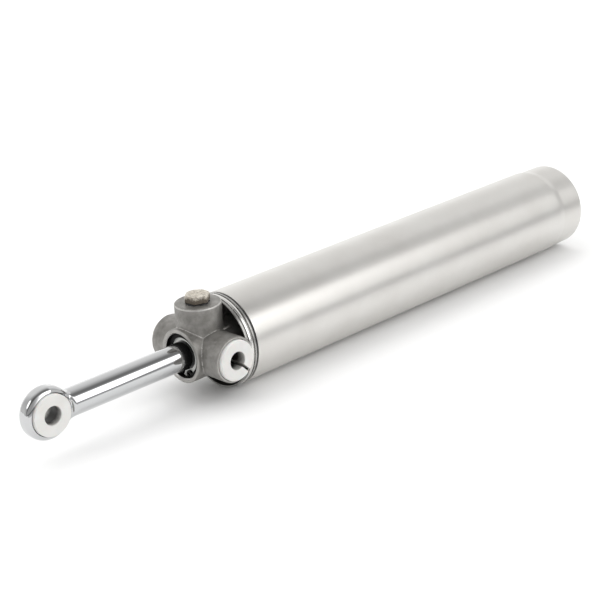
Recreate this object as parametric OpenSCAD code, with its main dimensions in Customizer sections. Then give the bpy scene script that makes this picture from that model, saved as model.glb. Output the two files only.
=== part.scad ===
// Pneumatic cylinder with head trunnions, a plugged head port and a bushed rod eye.
// +X is the way the rod extends, +Z points out of the head port, and the trunnion axis is Y.
// The origin is the point where the trunnion axis crosses the cylinder's axis.

/* [Barrel] */
// Outer diameter of the barrel tube
tube_od = 63; // [62:0.5:64]
// Wall thickness of the barrel tube
tube_wall = 1.5; // [1.5:0.1:1.8]
// Length of the barrel tube, with its rolled rear end
tube_len = 341; // [341:1:420]
// Length of the swaged rear end of the tube
swage_len = 27; // [26:1:30]
// Step in radius where the rear end is swaged down
swage_step = 0.8; // [0.6:0.1:1]

/* [Head] */
// Diameter of the trunnion bosses and of the port boss
boss_d = 30.6; // [30:0.2:32]
// Distance across the faces of the two trunnion bosses
boss_span = 65; // [64:0.5:68]
// Height of the port boss face above the axis
port_boss_h = 32; // [31:0.5:34]
// Outer diameter of the gland boss
gland_od = 36.2; // [36:0.2:38]
// Bore of the gland boss, where the wiper and the circlip sit
gland_bore = 30; // [29:0.5:31]
// Distance from the trunnion axis to the gland boss face
gland_face = 18; // [18:0.5:20]
// Distance from the trunnion axis back to the front edge of the collar
collar_front = 12.2; // [12:0.2:13]

/* [Rod] */
// Diameter of the chromed piston rod
rod_d = 18; // [17:0.5:18]
// Distance from the trunnion axis to the eye centre, rod retracted
eye_reach = 123.5; // [120:0.5:180]
// Outer diameter of the rod eye at its widest
eye_od = 34; // [33:0.2:36]
// Width of the rod eye along its pin
eye_w = 12; // [9:0.2:15]

/* [Pins and ports] */
// Diameter of the pins that the three bushes take
pin_d = 12; // [10:0.5:12]
// Outer diameter of the nylon bushes
bush_od = 27; // [26:0.5:27]
// How far a trunnion bush stands out of its boss
bush_proud = 2.4; // [1:0.2:3]
// Tapping diameter of the air ports
port_d = 8.8; // [8:0.1:9.6]
// Distance across the flats of the head port plug
plug_af = 15; // [14:0.5:16]

/* [Piston] */
// Travel of the piston
stroke = 250; // [150:5:250]
// Length of the piston
piston_len = 28; // [28:1:32]

/* [Hidden] */
$fn = 96;
eps = 0.01;
run_gap = 0.05;     // radial clearance of a sliding or turning fit
stop_gap = 0.5;     // clearance left between the piston and each rubber stop

tube_r = tube_od / 2;
bore_r = tube_r - tube_wall;
boss_r = boss_d / 2;
gland_r = gland_od / 2;
pocket_r = gland_bore / 2;
rod_r = rod_d / 2;
pin_r = pin_d / 2;
bush_r = bush_od / 2;
port_r = port_d / 2;

// Stations along X, from the rear to the front
tube_front = -21.1;
tube_rear = tube_front - tube_len;
swage_x = tube_rear + swage_len;
swage_r = tube_r - swage_step;
roll_r = 4;                          // outside radius of the rolled rear edge
rear_plate = 1.5;                    // width of the rolled lip behind the rear cap
cap_len = 22.5;
cap_rear = tube_rear + rear_plate;
cap_front = cap_rear + cap_len;
rear_stop_len = 3.5;
piston_rear = cap_front + rear_stop_len + stop_gap;
piston_front = piston_rear + piston_len;
spigot_rear = -52;
front_stop_rear = piston_front + stroke + stop_gap;

// Head details
gap_w = 1.5;                         // visible seal gap between the tube and the collar
collar_rear = tube_front + gap_w;
collar_r = tube_r - 0.1;
collar_groove = 0.6;                 // depth of the two turned grooves
collar_groove_w = 1;
rear_land_w = 1.3;
bead_w = 2.5;                        // rounded land between the two grooves
seal_seat_r = tube_r - 1.3;
recess_floor = -26;
recess_lip_r = collar_r - 1.1;
recess_floor_r = bore_r - 2.6;
spigot_r = bore_r;
guide_r = 11;
guide_front = -6;
guide_rear = -46;
duct_z = 22.5;                       // height of the air duct above the axis
duct_r = 2.2;
port_floor = 19.5;
bush_floor = 19;                     // depth at which a trunnion bush bottoms out
bush_slit = 2;
bush_slit_angle = 227;               // direction of the slit, from +X towards +Z
wire_x = -31;
wire_w = 2;
wire_in = bore_r - 0.9;
wire_out = bore_r + 0.8;
spigot_seal_x = -39;
spigot_seal_w = 2.6;
spigot_seal_depth = 2.1;

// Gland pocket, from its floor to its face
rod_seal_len = 8.4;
gland_washer_len = 2;
wiper_len = 9.6;
circlip_t = 1.4;
wiper_lip_r = 9.5;                   // outer radius of the lip where it leaves the wiper's face
wiper_tip_r = 9.25;
wiper_lip_len = 8;                   // how far the lip reaches out along the rod
rod_seal_front = guide_front + rod_seal_len;
washer_front = rod_seal_front + gland_washer_len;
circlip_x = washer_front + wiper_len;
circlip_seat = 0.7;
circlip_w = 3.4;                     // radial width opposite the gap
circlip_taper = 0.4;                 // how much narrower it is beside the gap
circlip_lug_r = 2.6;
circlip_lug_hole_r = 1.2;
circlip_lug_sink = 0.5;
circlip_gap = 38;                    // angle between the two lugs
circlip_turn = -92;                  // direction of the gap, from +Y towards +Z

// Piston details
stud_r = 6;
piston_r = bore_r - 0.6;
groove_w = 5;
groove_depth = 4.4;
wear_w = 8;
wear_depth = 2;
nut_af = 18;
nut_len = 9;
nut_washer_len = 2;
nut_pocket_r = 13;
nut_pocket_len = 13;
rod_tail = 14;

// Rod eye details
eye_neck_rear = eye_reach - 27.5;
eye_neck_front = eye_reach - 12;
eye_stud_len = 12;
eye_shoulder = 3;                    // how much smaller the eye is at its two faces
eye_neck_tip_r = 8.6;                // neck radius where it runs into the eye
eye_face_r = 15.4;                   // radius the neck is faced off to beside the eye
eye_bush_w = 15.8;

// Port plug
plug_h = 4.9;
plug_seal_h = 0.8;
plug_turn = 37;                      // one corner of the hexagon points this way
plug_shank = 9;

// Points of an arc about (cx, cy), from angle a0 to a1
function arc(cx, cy, r, a0, a1, n = 6) =
    [for (i = [0 : n]) let (a = a0 + (a1 - a0) * i / n) [cx + r * cos(a), cy + r * sin(a)]];

// Turns a profile of [x, radius] points about the X axis
module turned_x(points) {
    rotate([0, 90, 0])
        rotate_extrude()
            polygon([for (p = points) [p[1], p[0]]]);
}

// Cylinder along X between two stations
module bar_x(x0, x1, r) {
    translate([x0, 0, 0]) rotate([0, 90, 0]) cylinder(h = x1 - x0, r = r);
}

// Ring along X between two stations
module ring_x(x0, x1, r_in, r_out) {
    difference() {
        bar_x(x0, x1, r_out);
        bar_x(x0 - 1, x1 + 1, r_in);
    }
}

// Cylinder along Y, from y0 to y1
module bar_y(y0, y1, r) {
    translate([0, y0, 0]) rotate([-90, 0, 0]) cylinder(h = y1 - y0, r = r);
}

module barrel_tube() {
    roll_x = tube_rear + roll_r;
    lip_r = swage_r - roll_r;
    color("silver")
        difference() {
            turned_x(concat(
                [[tube_front, bore_r], [tube_front, tube_r - 0.2], [tube_front - 0.2, tube_r],
                 [swage_x, tube_r], [swage_x - 1.2, swage_r]],
                arc(roll_x, lip_r, roll_r, 90, 180),
                [[tube_rear, lip_r - 2], [cap_rear, lip_r - 2]],
                arc(roll_x, lip_r, roll_r - rear_plate, 180, 90),
                [[swage_x - 1.6, swage_r - rear_plate], [swage_x, bore_r]]
            ));
            bar_x(wire_x, wire_x + wire_w, wire_out);
        }
}

// Outline of the collar, with its turned lands and grooves
function collar_profile() =
    let (low = collar_r - collar_groove, edge = collar_r - 0.1,
         a = collar_rear + rear_land_w, b = a + collar_groove_w,
         c = b + bead_w, d = c + collar_groove_w, front = -collar_front) [
        [tube_front, 0], [tube_front, seal_seat_r], [collar_rear, seal_seat_r],
        [collar_rear, collar_r], [a, collar_r], [a + 0.2, low], [b - 0.2, low],
        [b, edge], [(b + c) / 2, collar_r + 0.1], [c, edge],
        [c + 0.2, low], [d - 0.2, low], [d, edge],
        [front - 0.6, edge], [front, edge - 0.5], [front, 0]
    ];

module head_casting() {
    color("darkgray")
        difference() {
            union() {
                difference() {
                    union() {
                        turned_x(collar_profile());
                        bar_x(spigot_rear, tube_front, spigot_r);
                    }
                    turned_x([
                        [recess_floor, 0], [recess_floor, recess_floor_r],
                        [-collar_front + eps, recess_lip_r], [-collar_front + eps, 0]
                    ]);
                }
                bar_x(recess_floor - 1, gland_face, gland_r);
                bar_y(-boss_span / 2, boss_span / 2, boss_r);
                cylinder(h = port_boss_h, r = boss_r);
                translate([recess_floor - 1, 0, duct_z - 2])
                    rotate([0, 90, 0])
                        cylinder(h = 20, r = 5);
            }
            // rod guide bore and gland pocket
            bar_x(spigot_rear - 1, guide_front + 1, guide_r);
            bar_x(guide_front, gland_face + 1, pocket_r);
            bar_x(circlip_x, circlip_x + circlip_t, pocket_r + circlip_seat);
            turned_x([[gland_face - 0.6, 0], [gland_face - 0.6, pocket_r],
                      [gland_face + 0.1, pocket_r + 0.7], [gland_face + 0.1, 0]]);
            // trunnion bush seats
            bar_y(bush_floor, boss_span, bush_r);
            bar_y(-boss_span, -bush_floor, bush_r);
            // head port and its duct to the front chamber
            translate([0, 0, port_floor]) cylinder(h = port_boss_h, r = port_r);
            translate([spigot_rear - 1, 0, duct_z])
                rotate([0, 90, 0])
                    cylinder(h = -spigot_rear + 1, r = duct_r);
            // grooves of the retaining wire and of the spigot seal
            ring_x(wire_x, wire_x + wire_w, wire_in, tube_r);
            ring_x(spigot_seal_x, spigot_seal_x + spigot_seal_w,
                   spigot_r - spigot_seal_depth, tube_r);
        }
}

module head_gap_seal() {
    color("black") ring_x(tube_front, collar_rear, seal_seat_r, tube_r - 0.5);
}

module head_spigot_oring() {
    color("black")
        ring_x(spigot_seal_x, spigot_seal_x + spigot_seal_w, spigot_r - spigot_seal_depth, bore_r);
}

module head_retaining_wire() {
    color("gray")
        difference() {
            ring_x(wire_x, wire_x + wire_w, wire_in, wire_out);
            translate([wire_x - 1, -3, -tube_r]) cube([wire_w + 2, 6, 5]);
        }
}

module head_stop_ring() {
    color("dimgray") ring_x(front_stop_rear, spigot_rear, guide_r, 19);
}

module port_plug() {
    hex_r = plug_af / 2 / cos(30);
    base = port_boss_h + plug_seal_h;
    color("wheat")
        union() {
            intersection() {
                translate([0, 0, base])
                    rotate(plug_turn)
                        cylinder(h = plug_h, r = hex_r, $fn = 6);
                translate([0, 0, base - 1])
                    rotate_extrude()
                        polygon([[0, 0], [hex_r + 1, 0], [hex_r + 1, plug_h - 1],
                                 [hex_r - 1.2, plug_h + 1], [0, plug_h + 1]]);
            }
            translate([0, 0, port_boss_h - plug_shank])
                cylinder(h = base - port_boss_h + plug_shank + eps, r = port_r);
        }
}

module port_plug_seal() {
    color("#262420")
        translate([0, 0, port_boss_h])
            difference() {
                cylinder(h = plug_seal_h, r = plug_af / 2 - 0.2);
                translate([0, 0, -1]) cylinder(h = plug_seal_h + 2, r = port_r);
            }
}

// Split nylon bush along Y; side is +1 for the left boss and -1 for the right one
module trunnion_bush(side) {
    color("white")
        difference() {
            mirror([0, side > 0 ? 0 : 1, 0])
                difference() {
                    bar_y(bush_floor, boss_span / 2 + bush_proud, bush_r);
                    bar_y(bush_floor - 1, boss_span, pin_r);
                }
            rotate([0, -bush_slit_angle, 0])
                translate([0, side > 0 ? 0 : -boss_span, -bush_slit / 2])
                    cube([bush_r + 1, boss_span, bush_slit]);
        }
}

module trunnion_bush_left() { trunnion_bush(1); }

module trunnion_bush_right() { trunnion_bush(-1); }

// Discs on both sides of the circlip's gap, set a little into the ring
module circlip_lugs(r) {
    for (side = [-1, 1])
        rotate(side * circlip_gap / 2)
            translate([pocket_r + circlip_seat - circlip_w + circlip_lug_sink, 0])
                circle(r = r);
}

// Internal circlip: widest opposite its gap, with a holed lug on each side of the gap
module gland_circlip() {
    seat = pocket_r + circlip_seat;
    gap_corner = 2 * seat * [cos(circlip_gap / 2), sin(circlip_gap / 2)];
    color("#1d1d1f")
        translate([circlip_x, 0, 0])
            rotate([90, 0, 90])
                rotate(circlip_turn)
                    linear_extrude(circlip_t)
                        difference() {
                            intersection() {
                                circle(r = seat);
                                union() {
                                    difference() {
                                        circle(r = seat);
                                        translate([circlip_taper, 0]) circle(r = seat - circlip_w);
                                        polygon([[0, 0], gap_corner, [gap_corner.x, -gap_corner.y]]);
                                    }
                                    circlip_lugs(circlip_lug_r);
                                }
                            }
                            circlip_lugs(circlip_lug_hole_r);
                        }
}

// Rod scraper: a body that fills the pocket up to the circlip, and a thin lip along the rod
module rod_wiper() {
    inner_r = rod_r + run_gap;
    color("whitesmoke")
        turned_x([
            [washer_front, inner_r], [washer_front, pocket_r], [circlip_x, pocket_r],
            [circlip_x, wiper_lip_r], [circlip_x + wiper_lip_len, wiper_tip_r],
            [circlip_x + wiper_lip_len, inner_r]
        ]);
}

module gland_washer() {
    color("gray") ring_x(rod_seal_front, washer_front, rod_r + 0.4, pocket_r);
}

module rod_seal() {
    color("darkgreen")
        turned_x([
            [guide_front, rod_r + run_gap], [guide_front, 10.6], [guide_front + 4, 12],
            [guide_front, 13.4], [guide_front, pocket_r], [rod_seal_front, pocket_r],
            [rod_seal_front, rod_r + run_gap]
        ]);
}

module rod_guide_bush() {
    color("peru") ring_x(guide_rear, guide_front, rod_r + run_gap, guide_r);
}

module rear_cap() {
    seat_r = swage_r - rear_plate;
    lip_r = swage_r - roll_r;
    color("darkgray")
        difference() {
            turned_x(concat(
                [[cap_front, 0], [cap_front, seat_r - 0.5], [cap_front - 0.5, seat_r]],
                arc(tube_rear + roll_r, lip_r, roll_r - rear_plate, 90, 180),
                [[cap_rear, 12], [cap_rear - 3, 11], [cap_rear - 3, 0]]
            ));
            bar_x(cap_front - nut_pocket_len, cap_front + 1, nut_pocket_r);
            bar_x(cap_rear - 4, cap_front, port_r);
            turned_x([[cap_rear - 3.1, 0], [cap_rear - 3.1, port_r + 0.7],
                      [cap_rear - 2.4, port_r], [cap_rear - 2.4, 0]]);
            ring_x(cap_front - 9, cap_front - 6.4, seat_r - 2.1, tube_r);
        }
}

module rear_cap_oring() {
    seat_r = swage_r - rear_plate;
    color("black") ring_x(cap_front - 9, cap_front - 6.4, seat_r - 2.1, seat_r);
}

module rear_stop_ring() {
    color("dimgray") ring_x(cap_front, cap_front + rear_stop_len, 14, 20);
}

// Stations of the piston's three grooves, counted from its rear face
rear_groove = piston_rear + 3;
wear_groove = piston_rear + piston_len / 2 - wear_w / 2;
front_groove = piston_front - 3 - groove_w;

// Sliding ring that rides in a piston groove and rubs on the barrel bore
module piston_ring(x0, w, depth) {
    ring_x(x0 + 0.1, x0 + w - 0.1, piston_r - depth + run_gap, bore_r - run_gap);
}

module piston_seal_front() { color("darkgreen") piston_ring(front_groove, groove_w, groove_depth); }

module piston_seal_rear() { color("darkgreen") piston_ring(rear_groove, groove_w, groove_depth); }

module piston_wear_ring() { color("ivory") piston_ring(wear_groove, wear_w, wear_depth); }

module piston() {
    color("lightsteelblue")
        difference() {
            bar_x(piston_rear, piston_front, piston_r);
            bar_x(piston_rear - 1, piston_front + 1, stud_r);
            bar_x(piston_front - 2.2, piston_front + 1, stud_r + 2);
            for (g = [[rear_groove, groove_w, groove_depth], [wear_groove, wear_w, wear_depth],
                      [front_groove, groove_w, groove_depth]])
                ring_x(g[0], g[0] + g[1], piston_r - g[2], tube_r);
        }
}

module piston_oring() {
    color("black") ring_x(piston_front - 2.2, piston_front, stud_r, stud_r + 2);
}

module piston_washer() {
    color("gray") ring_x(piston_rear - nut_washer_len, piston_rear, stud_r, 11.5);
}

module piston_nut() {
    nut_front = piston_rear - nut_washer_len;
    color("gray")
        difference() {
            translate([nut_front - nut_len, 0, 0])
                rotate([0, 90, 0])
                    cylinder(h = nut_len, r = nut_af / 2 / cos(30), $fn = 6);
            bar_x(nut_front - nut_len - 1, nut_front + 1, stud_r);
        }
}

module piston_rod() {
    stud_rear = piston_rear - rod_tail;
    stud_front = eye_neck_rear + eye_stud_len;
    color("gainsboro")
        turned_x([
            [stud_rear, 0], [stud_rear, stud_r - 1], [stud_rear + 1, stud_r], [piston_front, stud_r],
            [piston_front, rod_r - 0.5], [piston_front + 0.5, rod_r], [eye_neck_rear, rod_r],
            [eye_neck_rear, stud_r], [stud_front, stud_r], [stud_front, 0]
        ]);
}

module rod_eye() {
    half = eye_w / 2;
    eye_r = eye_od / 2;
    crown_r = (half * half + eye_shoulder * eye_shoulder) / (2 * eye_shoulder);
    crown_a = asin(half / crown_r);
    color("gainsboro")
        difference() {
            union() {
                translate([eye_reach, 0, 0])
                    rotate([-90, 0, 0])
                        rotate_extrude()
                            polygon(concat([[0, -half]],
                                           arc(eye_r - crown_r, 0, crown_r, -crown_a, crown_a, 10),
                                           [[0, half]]));
                turned_x([
                    [eye_neck_rear, 0], [eye_neck_rear, rod_r], [eye_neck_rear + 7, rod_r],
                    [eye_neck_front, eye_neck_tip_r], [eye_neck_front, 0]
                ]);
            }
            translate([eye_reach, 0, 0]) {
                bar_y(-eye_w, eye_w, bush_r - 0.1);
                bar_y(half, eye_w, eye_face_r);
                bar_y(-eye_w, -half, eye_face_r);
            }
            bar_x(eye_neck_rear - 1, eye_neck_rear + eye_stud_len, stud_r);
        }
}

module rod_eye_bush() {
    color("white")
        translate([eye_reach, 0, 0])
            difference() {
                bar_y(-eye_bush_w / 2, eye_bush_w / 2, bush_r - 0.1);
                bar_y(-eye_bush_w, eye_bush_w, pin_r);
            }
}

barrel_tube();
head_casting();
head_gap_seal();
head_spigot_oring();
head_retaining_wire();
head_stop_ring();
port_plug();
port_plug_seal();
trunnion_bush_left();
trunnion_bush_right();
gland_circlip();
rod_wiper();
gland_washer();
rod_seal();
rod_guide_bush();
rear_cap();
rear_cap_oring();
rear_stop_ring();
piston_seal_front();
piston_seal_rear();
piston_wear_ring();
piston();
piston_oring();
piston_washer();
piston_nut();
piston_rod();
rod_eye();
rod_eye_bush();
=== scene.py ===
"""Looks of a pneumatic cylinder: polished barrel, cast head with three bosses, chromed rod and eye.

Lengths are in millimetres in the part's own frame, and each mesh is scaled to metres as it is made.
+X is the way the rod extends, +Y the near trunnion boss and +Z the port boss.
"""
import math

import bmesh
import bpy
import numpy as np
from mathutils import Matrix, Vector

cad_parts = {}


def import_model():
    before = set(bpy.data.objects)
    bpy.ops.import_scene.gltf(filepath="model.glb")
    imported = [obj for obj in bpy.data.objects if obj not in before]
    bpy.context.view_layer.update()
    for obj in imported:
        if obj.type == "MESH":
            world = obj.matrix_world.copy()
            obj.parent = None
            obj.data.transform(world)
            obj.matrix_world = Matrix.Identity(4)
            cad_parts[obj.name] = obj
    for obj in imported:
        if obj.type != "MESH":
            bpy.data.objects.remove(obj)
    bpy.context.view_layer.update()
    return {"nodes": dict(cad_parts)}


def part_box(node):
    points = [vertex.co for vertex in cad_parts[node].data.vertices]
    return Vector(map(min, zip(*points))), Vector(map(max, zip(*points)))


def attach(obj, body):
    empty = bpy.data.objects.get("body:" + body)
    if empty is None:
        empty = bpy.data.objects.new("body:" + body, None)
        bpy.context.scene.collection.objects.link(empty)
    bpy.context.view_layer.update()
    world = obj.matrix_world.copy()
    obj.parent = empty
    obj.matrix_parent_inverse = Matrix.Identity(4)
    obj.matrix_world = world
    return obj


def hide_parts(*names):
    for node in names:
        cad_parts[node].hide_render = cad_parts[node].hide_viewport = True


MM = 0.001
SHARP_ANGLE = math.radians(38)

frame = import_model()


# ---------------------------------------------------------------- sizes, in mm
def span(node, axis):
    """Lowest and highest value of a CAD node along an axis (0, 1 or 2), in mm."""
    low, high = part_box(node)
    return low[axis] / MM, high[axis] / MM


TUBE_REAR, TUBE_FRONT = span("barrel_tube", 0)
TUBE_R = span("barrel_tube", 2)[1]
GLAND_FACE = span("head_casting", 0)[1]
BOSS_FACE = span("head_casting", 1)[1]
PORT_FACE = span("head_casting", 2)[1]
CIRCLIP_X, CIRCLIP_FRONT = span("gland_circlip", 0)
WIPER_REAR, WIPER_FRONT = span("rod_wiper", 0)
EYE_BUSH_HALF = span("rod_eye_bush", 1)[1]
EYE_R = span("rod_eye", 2)[1]
EYE_X = span("rod_eye", 0)[1] - EYE_R
NECK_X = span("rod_eye", 0)[0]
BUSH_FACE = span("trunnion_bush_left", 1)[1]
ROD_REAR, ROD_FRONT = span("piston_rod", 0)
ROD_R = span("piston_rod", 2)[1]
PLUG_TOP = span("port_plug", 2)[1]
CAP_REAR, CAP_FRONT = span("rear_cap", 0)

TUBE_WALL = 1.5
BORE_R = TUBE_R - TUBE_WALL
SWAGE_X = TUBE_REAR + 27
SWAGE_R = TUBE_R - 0.8
ROLL_R = 4
BOSS_R = 15.3
GLAND_R = 18.1
POCKET_R = 15
PIN_R = 6
BUSH_R = 13.5
BUSH_FLOOR = 19
EYE_BUSH_PROUD = 1.9
EYE_HALF = EYE_BUSH_HALF - EYE_BUSH_PROUD
EYE_BUSH_R = BUSH_R - 0.1
SLIT = 2
SLIT_ANGLE = math.radians(227)
PORT_R = 4.4
PORT_FLOOR = 19.5
POCKET_FLOOR = -6
GAP_W = 1.5
COLLAR_REAR = TUBE_FRONT + GAP_W
COLLAR_FRONT = -12.2
COLLAR_R = TUBE_R - 0.1
COLLAR_GROOVE_W = 1.0
BEAD_REAR = COLLAR_REAR + 1.3 + COLLAR_GROOVE_W
BEAD_FRONT = BEAD_REAR + 2.5
RECESS_FLOOR = -25.5
SEAL_SEAT_R = TUBE_R - 1.3
ORING_GROOVE_W = 2.6
ORING_GROOVE_DEPTH = 2.1
STUD_R = 6
ROD_SHOULDER = -306.1
THREAD_PITCH = 0.907
WIPER_LIP_R = ROD_R + 0.5
WIPER_TIP_R = ROD_R + 0.25


# ---------------------------------------------------------------- mesh helpers
def shade(mesh):
    """Smooth shading, with edges left sharp where two faces meet at more than SHARP_ANGLE."""
    mesh.shade_smooth()
    mesh.set_sharp_from_angle(angle=SHARP_ANGLE)


def add_mesh(name, verts, faces):
    """A new object from points in millimetres and faces as lists of point numbers."""
    mesh = bpy.data.meshes.new(name)
    mesh.from_pydata([tuple(v) for v in np.asarray(verts, float) * MM], [], faces)
    mesh.update()
    shade(mesh)
    obj = bpy.data.objects.new(name, mesh)
    bpy.context.scene.collection.objects.link(obj)
    return obj


def rounded(points, radii, steps, hold=0.25):
    """A closed outline of [x, r] points with each corner turned into an arc of its own radius.

    Extra points beside each arc keep the shading of the straight parts flat.
    """
    out = []
    count = len(points)
    for i, radius in enumerate(radii):
        corner = np.array(points[i], float)
        back = np.array(points[i - 1], float) - corner
        ahead = np.array(points[(i + 1) % count], float) - corner
        if radius <= 0:
            out.append(tuple(corner))
            continue
        back_len, ahead_len = np.linalg.norm(back), np.linalg.norm(ahead)
        back, ahead = back / back_len, ahead / ahead_len
        half = math.acos(max(-1.0, min(1.0, float(back @ ahead)))) / 2
        reach = min(radius / math.tan(half), back_len * 0.49, ahead_len * 0.49)
        radius = reach * math.tan(half)
        middle = (back + ahead) / np.linalg.norm(back + ahead)
        centre = corner + middle * (radius / math.sin(half))
        start, end = corner + back * reach, corner + ahead * reach
        extra = min(hold, (back_len * 0.5 - reach) * 0.8)
        if extra > 0.01:
            out.append(tuple(start + back * extra))
        a, b = start - centre, end - centre
        turn = math.atan2(a[0] * b[1] - a[1] * b[0], float(a @ b))
        for k in range(steps + 1):
            c, s = math.cos(turn * k / steps), math.sin(turn * k / steps)
            out.append((centre[0] + a[0] * c - a[1] * s, centre[1] + a[0] * s + a[1] * c))
        extra = min(hold, (ahead_len * 0.5 - reach) * 0.8)
        if extra > 0.01:
            out.append(tuple(end + ahead * extra))
    return out


def lathe(name, profile, segments, axis=0, origin=(0, 0, 0)):
    """Turns a closed outline of [along, radius] points about an axis (0, 1 or 2) through origin.

    Points with radius 0 become one point on the axis.
    """
    clean = [p for i, p in enumerate(profile) if math.dist(p, profile[i - 1]) > 1e-5]
    verts, rings = [], []
    for along, radius in clean:
        count = 1 if radius < 1e-6 else segments
        rings.append(list(range(len(verts), len(verts) + count)))
        for k in range(count):
            a = 2 * math.pi * k / segments
            local = (along, radius * math.cos(a), radius * math.sin(a))
            verts.append([local[(i - axis) % 3] + origin[i] for i in range(3)])
    faces = []
    for i, ring in enumerate(rings):
        other = rings[(i + 1) % len(rings)]
        if len(ring) == 1 and len(other) == 1:
            continue
        for k in range(segments):
            n = (k + 1) % segments
            quad = [ring[k % len(ring)], other[k % len(other)],
                    other[n % len(other)], ring[n % len(ring)]]
            faces.append([v for j, v in enumerate(quad) if v != quad[j - 1]])
    obj = add_mesh(name, verts, faces)
    face_outwards(obj)
    return obj


def face_outwards(obj):
    """Turns all the faces of a closed mesh outwards."""
    bm = bmesh.new()
    bm.from_mesh(obj.data)
    bmesh.ops.recalc_face_normals(bm, faces=bm.faces)
    if bm.calc_volume(signed=True) < 0:
        bmesh.ops.reverse_faces(bm, faces=bm.faces)
    bm.to_mesh(obj.data)
    bm.free()
    shade(obj.data)


def round_min(a, b, radius):
    """Union of two distance fields with a fillet of that radius in the inner corner."""
    u, v = np.maximum(radius - a, 0), np.maximum(radius - b, 0)
    return np.maximum(np.minimum(a, b), radius) - np.sqrt(u * u + v * v)


def round_max(a, b, radius):
    """Common part of two distance fields with the outer corner rounded to that radius."""
    u, v = np.maximum(radius + a, 0), np.maximum(radius + b, 0)
    return np.minimum(np.maximum(a, b), -radius) + np.sqrt(u * u + v * v)


CORNERS = [(i, j, k) for i in (0, 1) for j in (0, 1) for k in (0, 1)]
CELL_EDGES = [(a, b) for a in range(8) for b in range(a + 1, 8)
              if sum(abs(CORNERS[a][i] - CORNERS[b][i]) for i in range(3)) == 1]


def settle(points, field, cell):
    """Moves points onto the field's zero level by Newton steps, each within 0.6 of a cell of its start."""
    start = points.copy()
    step, reach = cell * 0.05, cell * 0.6
    for _ in range(4):
        value = field(*points.T)
        slope = np.stack([(field(*(points + d).T) - field(*(points - d).T)) / (2 * step)
                          for d in np.eye(3) * step], 1)
        points = points - (value / np.maximum((slope ** 2).sum(1), 0.05))[:, None] * slope
        points = np.clip(points, start - reach, start + reach)
    return points


def crossing_quads(inside, number, size):
    """A quad of point numbers round each grid edge that has one end inside and one end outside."""
    faces = []
    for axis in range(3):
        u, v = (axis + 1) % 3, (axis + 2) % 3
        first = [slice(None)] * 3
        second = [slice(None)] * 3
        first[axis], second[axis] = slice(0, -1), slice(1, None)
        edges = np.argwhere(inside[tuple(first)] != inside[tuple(second)])
        within = (edges[:, u] > 0) & (edges[:, v] > 0) & (edges[:, u] < size[u]) & (edges[:, v] < size[v])
        edges = edges[within]
        du, dv = np.eye(3, dtype=int)[u], np.eye(3, dtype=int)[v]
        quads = np.stack([number[tuple((edges - du - dv).T)], number[tuple((edges - dv).T)],
                          number[tuple(edges.T)], number[tuple((edges - du).T)]], 1)
        solid_first = inside[tuple(edges.T)]
        quads[~solid_first] = quads[~solid_first][:, ::-1]
        faces.append(quads)
    return np.concatenate(faces).tolist()


def field_mesh(name, field, low, high, cell):
    """Closed quad mesh of the zero level of field(x, y, z), which is negative inside, in mm."""
    low = np.array(low, float)
    count = np.ceil((np.array(high, float) - low) / cell).astype(int) + 1
    grids = np.meshgrid(*[low[i] + cell * np.arange(count[i]) for i in range(3)], indexing="ij")
    values = field(*grids).astype(np.float64)
    inside = values < 0
    size = count - 1
    total = np.zeros(size, int)
    for i, j, k in CORNERS:
        total += inside[i:i + size[0], j:j + size[1], k:k + size[2]]
    active = (total > 0) & (total < 8)
    cells = np.argwhere(active)
    number = -np.ones(size, int)
    number[active] = np.arange(len(cells))
    corner_values = np.stack([values[tuple((cells + c).T)] for c in CORNERS], 1)
    points, hits = np.zeros((len(cells), 3)), np.zeros(len(cells))
    for a, b in CELL_EDGES:
        va, vb = corner_values[:, a], corner_values[:, b]
        crossed = (va < 0) != (vb < 0)
        t = np.where(crossed, va / np.where(crossed, va - vb, 1), 0)[:, None]
        at = np.array(CORNERS[a]) * (1 - t) + np.array(CORNERS[b]) * t
        points += np.where(crossed[:, None], at, 0)
        hits += crossed
    points = low + cell * (cells + points / hits[:, None])
    return add_mesh(name, settle(points, field, cell), crossing_quads(inside, number, size))


def combine(obj, tools, operation):
    """Applies a boolean with each closed tool mesh, then removes the tools. Their materials carry over."""
    for tool in tools:
        for slot in tool.material_slots:
            if slot.material and slot.material.name not in obj.data.materials:
                obj.data.materials.append(slot.material)
        modifier = obj.modifiers.new("combine", "BOOLEAN")
        modifier.operation = operation
        modifier.solver = "MANIFOLD"
        modifier.material_mode = "TRANSFER"
        modifier.object = tool
        depsgraph = bpy.context.evaluated_depsgraph_get()
        made = bpy.data.meshes.new_from_object(obj.evaluated_get(depsgraph))
        obj.modifiers.clear()
        old = obj.data
        obj.data = made
        made.name = obj.name
        bpy.data.meshes.remove(old)
        bpy.data.objects.remove(tool)
    shade(obj.data)


def radial(u, v):
    """Distance from an axis, from the two coordinates across it."""
    return np.sqrt(u * u + v * v)


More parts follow.
